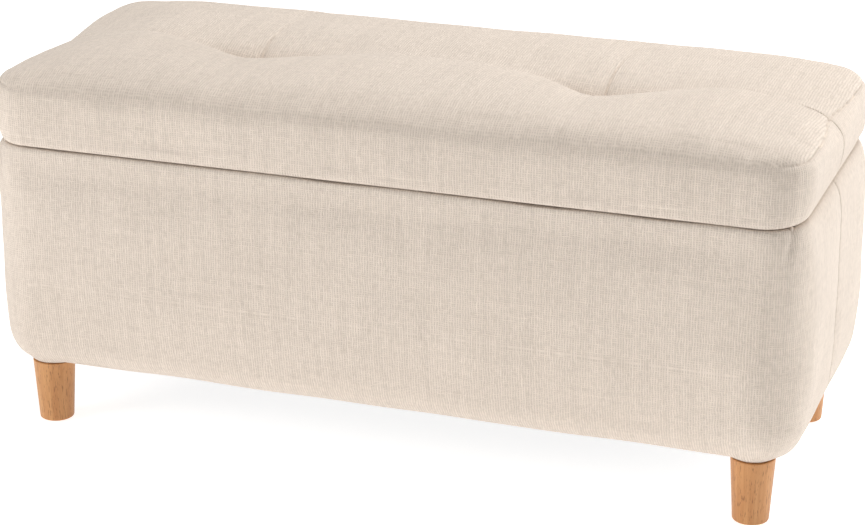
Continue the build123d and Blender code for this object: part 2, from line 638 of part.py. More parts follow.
for name, side in SIDES.items():
    with BuildPart() as box_bracket:
        with BuildSketch(Plane.YZ.offset(side * BRACKET_X - STAY_PLATE / 2)):
            with Locations(STAY_A):
                RectangleRounded(2 * PLATE_HALF[0], 2 * PLATE_HALF[1], PLATE_CORNER)
        extrude(amount=STAY_PLATE)
        with Locations(stay_base_places):
            add(stay_hole, mode=Mode.SUBTRACT)
        rivet(side, STAY_A, BRACKET_X, LOWER_X - HEAD_OFFSET)
    save(box_bracket, f"stay_{name}_box_bracket")

    lower_bar = arm_bar(side, LOWER_X, STAY_A, STAY_C, [STAY_A])
    with BuildPart() as lower_arm:
        add(lower_bar)
        rivet(side, STAY_C, LOWER_X, UPPER_X - HEAD_OFFSET)
    save(lower_arm, f"stay_{name}_lower_arm")

    upper_bar = arm_bar(side, UPPER_X, STAY_C, STAY_B, [STAY_C, STAY_B])
    with BuildPart() as upper_arm:
        add(upper_bar)
    save(upper_arm, f"stay_{name}_upper_arm")

    with BuildPart() as lid_bracket:
        x_faces = sorted((side * (FLANGE_X + STAY_PLATE / 2), side * (FLANGE_X - FLANGE_WIDTH)))
        block(
            (x_faces[0], STAY_B[0] - FLANGE_HALF_LENGTH, LID_Z - STAY_PLATE),
            (x_faces[1], STAY_B[0] + FLANGE_HALF_LENGTH, LID_Z),
        )
        with Locations(across(side * FLANGE_X, STAY_B)):
            Cylinder(ARM_HALF_WIDTH, STAY_PLATE)
        x_faces = sorted((side * (FLANGE_X + STAY_PLATE / 2), side * (FLANGE_X - STAY_PLATE / 2)))
        block(
            (x_faces[0], STAY_B[0] - ARM_HALF_WIDTH, STAY_B[1]),
            (x_faces[1], STAY_B[0] + ARM_HALF_WIDTH, LID_Z),
        )
        with Locations(stay_lid_places):
            add(stay_hole, mode=Mode.SUBTRACT)
        rivet(side, STAY_B, FLANGE_X, UPPER_X + HEAD_OFFSET)
    save(lid_bracket, f"stay_{name}_lid_bracket")
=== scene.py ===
"""Looks of the upholstered storage bench: padded cloth, linings, beech legs and steel fittings.

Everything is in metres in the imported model's frame: +X along the bench, the front faces -Y, +Z up.
"""

from math import cos, pi, radians, sin

import bmesh
import bpy
import numpy as np
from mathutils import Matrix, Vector


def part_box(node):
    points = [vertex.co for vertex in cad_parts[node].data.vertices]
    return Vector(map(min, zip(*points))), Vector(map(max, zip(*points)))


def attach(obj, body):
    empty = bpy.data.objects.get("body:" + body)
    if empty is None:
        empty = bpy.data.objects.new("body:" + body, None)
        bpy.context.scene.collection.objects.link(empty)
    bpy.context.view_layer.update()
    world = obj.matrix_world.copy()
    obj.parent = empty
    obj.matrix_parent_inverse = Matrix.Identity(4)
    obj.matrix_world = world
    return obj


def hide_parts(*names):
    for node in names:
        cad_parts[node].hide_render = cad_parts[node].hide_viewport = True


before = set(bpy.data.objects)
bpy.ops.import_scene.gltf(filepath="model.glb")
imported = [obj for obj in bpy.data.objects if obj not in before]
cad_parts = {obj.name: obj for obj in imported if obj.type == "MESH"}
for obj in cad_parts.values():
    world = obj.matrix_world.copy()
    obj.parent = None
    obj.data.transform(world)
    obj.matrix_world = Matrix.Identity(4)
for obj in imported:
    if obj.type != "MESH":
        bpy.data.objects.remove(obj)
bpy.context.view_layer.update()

MM = 0.001

# ---- Sizes read from the frame ----
BASE_X, BASE_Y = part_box("base_cover_rear")[1].x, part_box("base_cover_rear")[1].y
BASE_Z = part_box("base_cover_rear")[0].z
RIM_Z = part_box("base_cover_rear")[1].z
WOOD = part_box("frame_rear_panel")[1]
WOOD_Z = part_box("frame_rear_panel")[0].z
INNER_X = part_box("frame_right_panel")[0].x
INNER_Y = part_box("frame_rear_panel")[0].y
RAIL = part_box("rail_rear")[1]
RAIL_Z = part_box("rail_rear")[0].z
LINING_TOP_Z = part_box("lining_rear")[1].z
LID_X, LID_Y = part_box("lid_boxing_rear")[1].x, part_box("lid_boxing_rear")[1].y
LID_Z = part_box("lid_boxing_rear")[0].z
TUFT_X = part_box("lid_top_panel_middle")[1].x

# ---- Driving sizes of the padded forms ----
CLOTH = 1.5 * MM
CORNER = 50 * MM  # corner radius of the base and the lid, seen from above
BASE_SWELL = 5 * MM  # most that the padding pushes the base cloth out
LID_SWELL = 5 * MM
SHOULDER_Z = 175 * MM  # below this the base tapers towards its feet
TAPER = 5 * MM
END_BOTTOM = (27 * MM, 37 * MM)  # inward and upward size of the base's lower edge at its ends
FRONT_BOTTOM = (36 * MM, 48 * MM)  # and along its front and back
END_RIM = (14 * MM, 40 * MM)  # inward and downward size of the base's upper edge at its ends
FRONT_RIM = (2.5 * MM, 5 * MM)  # along its front
REAR_RIM = (14 * MM, 16 * MM)  # and along its back, clear of the hinges
BAND_X, BAND_Y = 375 * MM, 102 * MM  # window in the cloth turned in under the base
WIDEST_Z = 371 * MM  # height at which the lid stands out furthest
END_FOOT = (12 * MM, 37 * MM)  # how far the lid pulls in at its underside, and over what height, at its ends
FRONT_FOOT = (3 * MM, 6 * MM)
REAR_FOOT = (14 * MM, 18 * MM)
ROLL = 2.2 * MM  # how far the lid's lower edge hangs down at the front and the ends
SEAM_Z = 396 * MM  # seam between the lid's top and its boxing strip
SIDE_TOP_Z = 411 * MM
CROWN = 10 * MM
TUFT_DEPTH = 37 * MM
TUFTS = ((-TUFT_X, -14 * MM), (TUFT_X, -24 * MM))  # each pocket is drawn a little towards the front
UNEVEN = 0.5 * MM  # how far the cloth rises and falls between its seams
END_REACH = 60 * MM  # how far in from an end its seams and darts can lie
UNDER_Z, OVER_Z = BASE_Z + 0.3 * MM, RIM_Z - 0.3 * MM  # underside and top of the base cloth
LID_UNDER_Z = LID_Z + 0.2 * MM


# ---- Mesh helpers ----
def new_piece(name, points, faces, body, material):
    """A smooth-shaded mesh piece that rides on a body."""
    mesh = bpy.data.meshes.new(name)
    mesh.from_pydata(np.asarray(points, float).tolist(), [], faces)
    mesh.validate()
    mesh.shade_smooth()
    mesh.materials.append(material)
    piece = bpy.data.objects.new(name, mesh)
    bpy.context.scene.collection.objects.link(piece)
    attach(piece, body)
    return piece


def read(collection, field, width=3, kind=np.float32):
    flat = np.zeros(len(collection) * width, kind)
    collection.foreach_get(field, flat)
    return flat.reshape(-1, width).astype(float) if width > 1 else flat


def points_of(mesh):
    return read(mesh.vertices, "co")


def set_points(mesh, points):
    mesh.vertices.foreach_set("co", np.asarray(points, np.float32).ravel())
    mesh.update()


def bell(value, width):
    """1 at zero, falling smoothly to nothing over a few widths."""
    return np.exp(-((value / width) ** 2))


def step(value, low, high):
    """0 below low, 1 above high, smooth between them."""
    t = np.clip((value - low) / (high - low), 0, 1)
    return t * t * (3 - 2 * t)


def wedge(value, width):
    """1 at zero, down to 0 a width away in a sharp V with rounded shoulders."""
    return np.maximum(0, 1 - np.abs(value) / width) ** 1.8


def ripple(u, v, length, seed):
    """A smooth random wave over a surface, about -1 to 1, always the same for one seed."""
    rng = np.random.default_rng(seed)
    total = np.zeros(np.shape(u))
    waves = 9
    for _ in range(waves):
        angle, phase, scale = rng.uniform(0, pi), rng.uniform(0, 2 * pi), rng.uniform(0.6, 1.7)
        total += np.sin(2 * pi * scale * (u * cos(angle) + v * sin(angle)) / length + phase)
    return total / waves**0.5


def spaced(half, pitch, dense_at=(), reach=0.03):
    """Coordinates from -half to half about a pitch apart, and closer together near some places."""
    fine = np.linspace(-half, half, 4001)
    weight = 1 + sum(bell(fine - place, reach) for place in dense_at) + 0 * fine
    run = np.concatenate([[0], np.cumsum((weight[1:] + weight[:-1]) / 2 * np.diff(fine))])
    count = 2 * max(1, round(run[-1] / pitch / 2))
    return np.interp(np.linspace(0, run[-1], count + 1), run, fine)


def grid_quads(grid, flipped=False):
    """Faces between the rows and columns of a grid of point numbers."""
    corners = ((0, 0), (0, 1), (1, 1), (1, 0)) if flipped else ((0, 0), (1, 0), (1, 1), (0, 1))
    return [tuple(grid[i + a, j + b] for a, b in corners)
            for i in range(grid.shape[0] - 1) for j in range(grid.shape[1] - 1)]


def grid_edge(grid):
    """The point numbers round the outside of a grid, in order."""
    return np.concatenate([grid[:-1, 0], grid[-1, :-1], grid[:0:-1, -1], grid[0, :0:-1]])


def band(here, following, count):
    """Faces between two rings of count points that start at these point numbers."""
    return [(here + i, here + (i + 1) % count, following + (i + 1) % count, following + i)
            for i in range(count)]


def rounded(distance, size):
    """Inset of a rounded edge at some distance from its flat: size is its width and its height."""
    width, height = size
    return width * (1 - np.sqrt(1 - np.clip(1 - distance / height, 0, 1) ** 2))


def outline_place(points, half_x, half_y):
    """Each point's place round the outline from the front's middle, how far inside it is, its corner angle."""
    ax, ay = np.abs(points[:, 0]), np.abs(points[:, 1])
    core_x, core_y = half_x - CORNER, half_y - CORNER
    dx, dy = np.maximum(ax - core_x, 0), np.maximum(ay - core_y, 0)
    inside = (dx == 0) & (dy == 0)
    angle = np.where(inside, np.where(half_y - ay < half_x - ax, pi / 2, 0), np.arctan2(dy, dx))
    around = np.minimum(ax, core_x) + CORNER * (pi / 2 - angle) + core_y - np.minimum(ay, core_y)
    inset = np.where(inside, np.minimum(half_x - ax, half_y - ay), CORNER - np.hypot(dx, dy))
    return around * np.sign(points[:, 0]), inset, angle


def inflate(piece, held, most, pressure=4.0, frames=20):
    """Swells a closed piece by cloth simulation. held pins each point; none moves further than most."""
    mesh = piece.data
    start = points_of(mesh)
    held = np.round(held, 1)
    group = piece.vertex_groups.new(name="held")
    for weight in sorted(set(held[held > 0])):
        group.add(np.flatnonzero(held == weight).tolist(), float(weight), "REPLACE")
    cloth = piece.modifiers.new("swell", "CLOTH")
    settings = cloth.settings
    settings.quality = 5
    settings.mass = 0.3
    settings.tension_stiffness = settings.compression_stiffness = 15
    settings.shear_stiffness = 5
    settings.bending_stiffness = 0.5
    settings.vertex_group_mass = "held"
    settings.use_pressure = True
    settings.uniform_pressure_force = pressure
    settings.effector_weights.gravity = 0
    cloth.point_cache.frame_start, cloth.point_cache.frame_end = 1, frames
    scene = bpy.context.scene
    scene.frame_start, scene.frame_end = 1, frames
    for number in range(1, frames + 1):
        scene.frame_set(number)
    shaped = piece.evaluated_get(bpy.context.evaluated_depsgraph_get())
    shift = points_of(shaped.to_mesh()) - start
    shaped.to_mesh_clear()
    piece.modifiers.remove(cloth)
    piece.vertex_groups.remove(group)
    scene.frame_set(1)
    length = np.linalg.norm(shift, axis=1, keepdims=True) + 1e-12
    set_points(mesh, start + shift * most * np.tanh(length / most) / length)


def subdivide(piece):
    """One level of subdivision, made permanent."""
    modifier = piece.modifiers.new("smooth", "SUBSURF")
    modifier.levels = modifier.render_levels = 1
    finer = bpy.data.meshes.new_from_object(piece.evaluated_get(bpy.context.evaluated_depsgraph_get()))
    piece.modifiers.remove(modifier)
    piece.data = finer
    finer.shade_smooth()


SEAM_ROWS = (-3.6 * MM, -1.8 * MM, 0.0, 1.8 * MM, 3.6 * MM)


def cut_rows(piece, origin, normal, wanted):
    """Adds rows of points along a seam's plane, over the faces whose middles wanted picks."""
    shape = bmesh.new()
    shape.from_mesh(piece.data)
    for offset in SEAM_ROWS:
        place = Vector(origin) + Vector(normal) * offset
        faces = [face for face in shape.faces if wanted(face.calc_center_median())]
        edges = {edge for face in faces for edge in face.edges}
        corners = {corner for face in faces for corner in face.verts}
        bmesh.ops.bisect_plane(
            shape, geom=[*faces, *edges, *corners], plane_co=place, plane_no=Vector(normal), dist=1e-5
        )
    shape.to_mesh(piece.data)
    shape.free()
    piece.data.update()


def press_in(piece, depth_at):
    """Moves each point inward along its normal by depth_at(points)."""
    mesh = piece.data
    points, normals = points_of(mesh), read(mesh.vertex_normals, "vector")
    set_points(mesh, points - normals * depth_at(points)[:, None])
    mesh.shade_smooth()


def seam(across, along):
    """Depth of a plain sewn seam: a narrow groove between two soft rolls, puckered by its stitches."""
    pucker = 1 + 0.3 * np.sin(2 * pi * along / (9 * MM)) + 0.3 * np.sin(2 * pi * along / (23 * MM))
    groove = 2.2 * MM * np.maximum(0, 1 - np.abs(across) / (1.8 * MM))
    return groove + 0.5 * MM * bell(across, 5 * MM) * pucker


def flat_seam(across):
    """Depth of a seam pressed flat, which shows only as a shallow line."""
    return 0.8 * MM * bell(across, 2.2 * MM)


def lay_weave(piece, half_x, half_y, flat):
    """Records where each face corner lies on its cloth, in metres, for the weave to follow.

    flat picks the faces, by their middles, whose cloth was cut to lie flat; the rest runs round the outline.
    """
    mesh = piece.data
    points = points_of(mesh)
    around, inset, _ = outline_place(points, half_x, half_y)
    height = points[:, 2] + np.where(points[:, 2] > SHOULDER_Z, inset, -inset) * 0.7
    corner = read(mesh.loops, "vertex_index", 1, np.int32)
    corners_each = read(mesh.polygons, "loop_total", 1, np.int32)
    lies_flat = np.repeat(flat(read(mesh.polygons, "center")), corners_each)
    weave = np.zeros((len(corner), 3), np.float32)
    weave[:, 0] = np.where(lies_flat, points[corner, 0], around[corner])
    weave[:, 1] = np.where(lies_flat, points[corner, 1], height[corner])
    mesh.attributes.new("weave", "FLOAT_VECTOR", "CORNER").data.foreach_set("vector", weave.ravel())


# ---- Material helpers ----
def linear(red, green, blue):
    """Shader colour of an everyday 0-255 colour."""
    return *(((c / 255 + 0.055) / 1.055) ** 2.4 for c in (red, green, blue)), 1


class Paint:
    """One material under construction, with short names for its nodes."""

    def __init__(self, name, **settings):
        self.material = bpy.data.materials.new(name)
        self.material.use_nodes = True
        self.tree = self.material.node_tree
        self.shader = self.tree.nodes["Principled BSDF"]
        for socket, value in settings.items():
            self.shader.inputs[socket.replace("_", " ")].default_value = value

    def put(self, kind, **inputs):
        node = self.tree.nodes.new(kind)
        for socket, value in inputs.items():
            self.feed(node.inputs[socket.replace("_", " ")], value)
        return node

    def feed(self, socket, value):
        if isinstance(value, bpy.types.NodeSocket):
            self.tree.links.new(value, socket)
        else:
            socket.default_value = value

    def math(self, operation, *values):
        node = self.tree.nodes.new("ShaderNodeMath")
        node.operation = operation
        for socket, value in zip(node.inputs, values):
            self.feed(socket, value)
        return node.outputs[0]

    def noise(self, place, scale, detail=3.0, roughness=0.5):
        inputs = {"Scale": scale, "Detail": detail, "Roughness": roughness}
        return self.put("ShaderNodeTexNoise", Vector=place, **inputs).outputs[0]

    def stretch(self, place, factors):
        node = self.put("ShaderNodeVectorMath", Vector=place)
        node.operation = "MULTIPLY"
        node.inputs[1].default_value = factors
        return node.outputs[0]

    def ramp(self, value, *stops):
        """A colour ramp over a value; stops are (place, colour)."""
        node = self.put("ShaderNodeValToRGB", Fac=value)
        while len(node.color_ramp.elements) < len(stops):
            node.color_ramp.elements.new(1.0)
        for element, (place, colour) in zip(node.color_ramp.elements, stops):
            element.position, element.color = place, colour
        return node.outputs[0]

    def blend(self, amount, first, second, kind="MIX"):
        node = self.tree.nodes.new("ShaderNodeMixRGB")
        node.blend_type = kind
        for socket, value in zip(node.inputs, (amount, first, second)):
            self.feed(socket, value)
        return node.outputs[0]

    def bump(self, height, distance, strength=1.0):
        node = self.put("ShaderNodeBump", Height=height, Distance=distance, Strength=strength)
        self.tree.links.new(node.outputs[0], self.shader.inputs["Normal"])

    def colour(self, value):
        self.feed(self.shader.inputs["Base Color"], value)
        return self.material

    def object_place(self):
        return self.put("ShaderNodeTexCoord").outputs["Object"]


def woven(name, yarn, light, dark, slub, bump, sheen):
    """Plain-woven cloth that follows its piece's weave record; yarn is the yarns' spacing each way."""
    paint = Paint(name, Roughness=0.92, Sheen_Weight=sheen, Sheen_Roughness=0.5, Specular_IOR_Level=0.2)
    record = paint.tree.nodes.new("ShaderNodeAttribute")
    record.attribute_name = "weave"
    place = record.outputs["Vector"]
    wander = paint.noise(place, 90.0, 2.0)
    split = paint.put("ShaderNodeSeparateXYZ", Vector=place)
    shift = paint.math("MULTIPLY", paint.math("SUBTRACT", wander, 0.5), yarn[0])
    across = [paint.math("DIVIDE", paint.math("ADD", split.outputs[i], shift), yarn[i]) for i in (0, 1)]
    slubs = [paint.noise(paint.stretch(place, factors), 1.0, 2.0)
             for factors in ((0.9 / yarn[0], 110.0, 1.0), (120.0, 0.9 / yarn[1], 1.0))]
    heights = []
    for mine, slubby, weight in ((across[0], slubs[0], 1.0), (across[1], slubs[1], 0.8)):
        profile = paint.math("ABSOLUTE", paint.math("SINE", paint.math("MULTIPLY", mine, pi)))
        over = paint.math("MULTIPLY_ADD", slubby, 1.6, -0.15)
        heights.append(paint.math("MULTIPLY", paint.math("MULTIPLY", profile, over), weight))
    threads = paint.math("MAXIMUM", *heights)
    along = paint.noise(paint.stretch(place, (0.35 / yarn[0], 9.0, 1.0)), 1.0, 3.0)
    crossing = paint.noise(paint.stretch(place, (12.0, 0.35 / yarn[1], 1.0)), 1.0, 3.0)
    streak = paint.math("ADD", paint.math("MULTIPLY", along, 0.6), paint.math("MULTIPLY", crossing, 0.4))
    fuzz = paint.noise(place, 1500.0, 2.0)
    tone = paint.ramp(threads, (0.05, dark), (0.7, light))
    streaks = paint.ramp(streak, (0.35, (1 - slub, 1 - slub, 1 - slub, 1)), (0.65, (1, 1, 1, 1)))
    tone = paint.blend(1.0, tone, streaks, "MULTIPLY")
    patch = paint.ramp(paint.noise(place, 7.0, 3.0), (0.3, (0.975, 0.972, 0.968, 1)), (0.7, (1, 1, 1, 1)))
    tone = paint.blend(1.0, tone, patch, "MULTIPLY")
    height = paint.math("ADD", paint.math("MULTIPLY", threads, 0.8), paint.math("MULTIPLY", streak, 0.4))
    height = paint.math("ADD", height, paint.math("MULTIPLY", fuzz, 0.3))
    paint.bump(height, bump)
    return paint.colour(tone)


def beech(name):
    """Oiled beech: straight pale grain with the short dark flecks that beech shows."""
    paint = Paint(name, Roughness=0.5, Coat_Weight=0.08, Coat_Roughness=0.35)
    place = paint.object_place()
    grain = paint.noise(paint.stretch(place, (260.0, 260.0, 9.0)), 1.0, 4.0, 0.6)
    bands = paint.noise(paint.stretch(place, (40.0, 40.0, 3.0)), 1.0, 2.0)
    fleck = paint.noise(paint.stretch(place, (900.0, 900.0, 110.0)), 1.0, 1.0)
    tone = paint.ramp(grain, (0.3, linear(184, 122, 68)), (0.7, linear(212, 155, 98)))
    broad = paint.ramp(bands, (0.35, linear(192, 130, 74)), (0.65, linear(218, 164, 108)))
    tone = paint.blend(0.3, tone, broad)
    marks = paint.ramp(fleck, (0.60, (1, 1, 1, 1)), (0.68, (0.62, 0.55, 0.5, 1)))
    paint.bump(paint.math("ADD", grain, paint.math("MULTIPLY", fleck, -0.6)), 0.2 * MM, 0.5)
    return paint.colour(paint.blend(1.0, tone, marks, "MULTIPLY"))


def board(name):
    """Pale birch plywood: broad face grain, with thin plies where the grain is seen from the side."""
    paint = Paint(name, Roughness=0.62)
    place = paint.object_place()
    grain = paint.noise(paint.stretch(place, (6.0, 60.0, 60.0)), 1.0, 4.0, 0.6)
    tone = paint.ramp(grain, (0.3, linear(196, 168, 128)), (0.7, linear(226, 203, 165)))
    ply = paint.noise(paint.stretch(place, (3.0, 700.0, 700.0)), 1.0, 1.0)
    paint.bump(grain, 0.3 * MM, 0.4)
    plies = paint.ramp(ply, (0.42, (0.86, 0.83, 0.8, 1)), (0.5, (1, 1, 1, 1)))
    return paint.colour(paint.blend(1.0, tone, plies, "MULTIPLY"))


def metal(name, light, dark, roughness):
    """Plated steel with fine brush marks and dull patches."""
    paint = Paint(name, Metallic=1.0)
    place = paint.object_place()
    brush = paint.noise(paint.stretch(place, (300.0, 2500.0, 2500.0)), 1.0, 2.0)
    wear = paint.noise(place, 60.0, 3.0)
    low, high = (roughness - 0.08,) * 3 + (1,), (roughness + 0.12,) * 3 + (1,)
    paint.feed(paint.shader.inputs["Roughness"], paint.ramp(wear, (0.35, low), (0.65, high)))
    paint.bump(brush, 0.08 * MM, 0.6)
    return paint.colour(paint.ramp(wear, (0.3, dark), (0.7, light)))


def moulded(name, light, dark, roughness):
    """Moulded plastic or rubber: a fine pebbled skin, a little uneven in colour."""
    paint = Paint(name, Roughness=roughness)
    place = paint.object_place()
    pebble = paint.noise(place, 1800.0, 2.0)
    paint.bump(pebble, 0.12 * MM, 0.7)
    return paint.colour(paint.ramp(paint.noise(place, 40.0, 3.0), (0.35, dark), (0.65, light)))


def felted(name, light, dark):
    """Thin non-woven cloth: pressed fibres with a faint dimpled pattern."""
    paint = Paint(name, Roughness=0.95, Sheen_Weight=0.1)
    place = paint.object_place()
    fibre = paint.noise(place, 900.0, 4.0, 0.7)
    dimple = paint.put("ShaderNodeTexVoronoi", Vector=place, Scale=450.0).outputs[0]
    paint.bump(paint.math("ADD", fibre, paint.math("MULTIPLY", dimple, 0.5)), 0.2 * MM, 0.7)
    return paint.colour(paint.ramp(fibre, (0.3, dark), (0.7, light)))


def twisted(name, light, dark):
    """Waxed thread: fine slanting strands."""
    paint = Paint(name, Roughness=0.6)
    place = paint.object_place()
    wave = paint.put("ShaderNodeTexWave", Vector=place, Scale=700.0, Distortion=1.0)
    wave.bands_direction = "DIAGONAL"
    paint.bump(wave.outputs[1], 0.1 * MM, 0.7)
    return paint.colour(paint.ramp(wave.outputs[1], (0.2, dark), (0.8, light)))


upholstery = woven(
    "bench_cloth", (2.8 * MM, 2.3 * MM), light=linear(239, 225, 211), dark=linear(206, 192, 178),
    slub=0.09, bump=0.7 * MM, sheen=0.12,
)
lining_cloth = felted("lining_cloth", linear(202, 196, 188), linear(176, 170, 161))
dust_cloth = felted("dust_cloth", linear(60, 59, 58), linear(40, 39, 39))
MATERIALS = {
    "upholstery_cloth": upholstery,
    "lining_cloth": lining_cloth,
    "dust_cover_cloth": dust_cloth,
    "foam": moulded("foam", linear(236, 226, 190), linear(224, 212, 172), 0.95),
    "leg_wood": beech("beech"),
    "board_wood": board("plywood"),
    "glide_plastic": moulded("glide_plastic", linear(72, 70, 68), linear(54, 53, 52), 0.55),
    "bumper_rubber": moulded("bumper_rubber", linear(88, 86, 84), linear(70, 68, 66), 0.7),
    "tuft_cord": twisted("tuft_thread", linear(232, 224, 208), linear(196, 186, 168)),
    "fastener_steel": metal("zinc_steel", linear(205, 205, 202), linear(170, 171, 170), 0.38),
    "hinge_steel": metal("nickel_steel", linear(196, 194, 190), linear(160, 158, 155), 0.32),
}
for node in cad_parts.values():
    for place in node.material_slots:
        place.material = MATERIALS[place.material.name.split(".")[0]]


# ---- Base: one padded ring of cloth over foam, round the wooden box ----
LONG_STEPS, END_STEPS, CORNER_STEPS = 104, 36, 10
RING_POINTS = 2 * (LONG_STEPS + END_STEPS) + 4 * CORNER_STEPS
CLEAR = 0.15 * MM  # between the cloth and the wood behind it
TURN = 2 * MM  # radius of the cloth's turn over the inner edge of the rim
TURN_CORNER, LEAST_CORNER = 3 * MM, 4 * MM  # corner radii, seen from above, inside the rim and on top of it
BACK_CORNER = 2 * MM  # and against the wooden box
LAP = 0.6 * MM  # how far above the lining's top edge the turned-in cloth ends


def plan_ring(half_x, half_y, radius):
    """A closed ring of RING_POINTS points seen from above, which starts midway up the left end."""
    core_x, core_y = half_x - radius, half_y - radius
    turn = np.linspace(0, pi / 2, CORNER_STEPS + 1)[1:-1]
    end = np.linspace(core_y, -core_y, END_STEPS + 1)
    long = np.linspace(-core_x, core_x, LONG_STEPS + 1)

    def bend(x, y, start):
        return np.stack([x + radius * np.cos(start + turn), y + radius * np.sin(start + turn)], 1)

    half = np.concatenate([
        np.stack([-half_x + 0 * end, end], 1),
        bend(-core_x, -core_y, pi),
        np.stack([long, -half_y + 0 * long], 1),
        bend(core_x, -core_y, -pi / 2),
    ])
    return np.roll(np.concatenate([half, -half]), -(END_STEPS // 2), axis=0)


def base_outer(z):
    """The base cloth's outer ring at one height: half length, half depth, corner radius, height."""
    taper = TAPER * np.clip((SHOULDER_Z - z) / (SHOULDER_Z - UNDER_Z), 0, 1) ** 1.5
    inset_x = taper + rounded(z - UNDER_Z, END_BOTTOM) + rounded(OVER_Z - z, END_RIM)
    inset_y = taper + rounded(z - UNDER_Z, FRONT_BOTTOM) + rounded(OVER_Z - z, FRONT_RIM)
    radius = max(CORNER - (inset_x + inset_y) / 2, LEAST_CORNER)
    return BASE_X - 0.5 * BASE_SWELL - inset_x, BASE_Y - inset_y, radius, z


def base_front():
    """Rings from the window under the base, up the outside, over the rim and down to the lining."""
    foot_x, foot_y, radius, _ = base_outer(UNDER_Z)
    rings = [(BAND_X + (foot_x - BAND_X) * part, BAND_Y + (foot_y - BAND_Y) * part, radius, UNDER_Z)
             for part in np.linspace(0, 1, 6)[:-1]]
    lower, upper = UNDER_Z + FRONT_BOTTOM[1], OVER_Z - END_RIM[1]
    rings += [base_outer(lower - FRONT_BOTTOM[1] * sin(angle)) for angle in np.linspace(pi / 2, 0, 12)]
    rings += [base_outer(z) for z in np.linspace(lower, upper, 26)[1:]]
    rings += [base_outer(upper + END_RIM[1] * sin(angle)) for angle in np.linspace(0, pi / 2, 15)[1:]]
    wrap_x, wrap_y = INNER_X - CLOTH, INNER_Y - CLOTH
    rim_x, rim_y, radius, _ = rings[-1]
    for part in np.linspace(0, 1, 5)[1:]:
        rings.append((rim_x + (wrap_x + TURN - rim_x) * part, rim_y + (wrap_y + TURN - rim_y) * part,
                      radius + (LEAST_CORNER - radius) * part, OVER_Z))
    for angle in (30, 60, 90):
        turned = radians(angle)
        rings.append((wrap_x + TURN * (1 - sin(turned)), wrap_y + TURN * (1 - sin(turned)), TURN_CORNER,
                      OVER_Z - TURN * (1 - cos(turned))))
    for z in (RIM_Z - 16 * MM, RIM_Z - 28 * MM, LINING_TOP_Z + 1.5 * MM, LINING_TOP_Z + LAP):
        rings.append((wrap_x, wrap_y, TURN_CORNER, z))
    return rings


def base_back():
    """Rings close round the wooden box, from the lining over the top of the walls and down to the rails."""
    turns = (
        (INNER_X - CLEAR, INNER_Y - CLEAR, LINING_TOP_Z + LAP),
        (INNER_X - CLEAR, INNER_Y - CLEAR, WOOD.z + CLEAR),
        (WOOD.x + CLEAR, WOOD.y + CLEAR, WOOD.z + CLEAR),
        (WOOD.x + CLEAR, WOOD.y + CLEAR, WOOD_Z - CLEAR),
        (RAIL.x + CLEAR, RAIL.y + CLEAR, WOOD_Z - CLEAR),
        (RAIL.x + CLEAR, RAIL.y + CLEAR, RAIL_Z - CLEAR),
        (BAND_X, BAND_Y, RAIL_Z - CLEAR),
    )
    rings = []
    for here, following in zip(turns, turns[1:]):
        for part in (0.004, 0.02, 0.98, 0.996):
            x, y, z = (start + (end - start) * part for start, end in zip(here, following))
            rings.append((x, y, BACK_CORNER, z))
    return rings


def base_creases(points):
    """End seams, and the small pinch that the wrapped cloth makes under each corner of the lid."""
    around, inset, angle = outline_place(points, BASE_X, BASE_Y)
    low = points[:, 2] < SHOULDER_Z
    outside = np.where(low, 1 - step(inset, 46 * MM, 60 * MM), 1 - step(inset, 18 * MM, 26 * MM))
    ends = np.abs(points[:, 0]) > BASE_X - END_REACH
    corner_line = (angle - pi / 4) * CORNER + 0.3 * (points[:, 2] - RIM_Z)
    near_rim = step(points[:, 2], RIM_Z - 48 * MM, RIM_Z - 12 * MM)
    depth = seam(points[:, 1], points[:, 2]) * ends * outside
    depth += 3.2 * MM * wedge(corner_line, 7 * MM) * near_rim * outside
    depth += UNEVEN * ripple(around, points[:, 2], 110 * MM, 5) * outside
    return depth


def settle_on_legs(piece):
    """Draws the cloth down onto the flat tops of the legs."""
    points = points_of(piece.data)
    for leg in ("leg_front_left", "leg_front_right", "leg_rear_left", "leg_rear_right"):
        low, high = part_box(leg)
        middle = (low + high) / 2
        radius = (high.x - low.x) / 2
        away = np.hypot(points[:, 0] - middle.x, points[:, 1] - middle.y)
        past_rail = (np.abs(points[:, 0]) > RAIL.x + MM) | (np.abs(points[:, 1]) > RAIL.y + MM)
        outer = past_rail & (points[:, 2] < WOOD_Z - MM)
        pulled = (1 - step(away, radius - 5 * MM, radius + 4 * MM)) * outer
        points[:, 2] -= np.maximum(points[:, 2] - UNDER_Z, 0) * pulled
    set_points(piece.data, points)


def clear_hinges(points, size, plain, edge_z, half_y):
    """Rounds the rear edge more than the front one, to leave the hinge knuckles room."""
    distance = np.abs(edge_z - points[:, 2])
    more = rounded(distance, size) - rounded(distance, plain)
    outside = np.clip((points[:, 1] - WOOD.y) / (half_y - WOOD.y), 0, 1)
    points[:, 1] -= more * step(points[:, 1], 95 * MM, 150 * MM) * outside


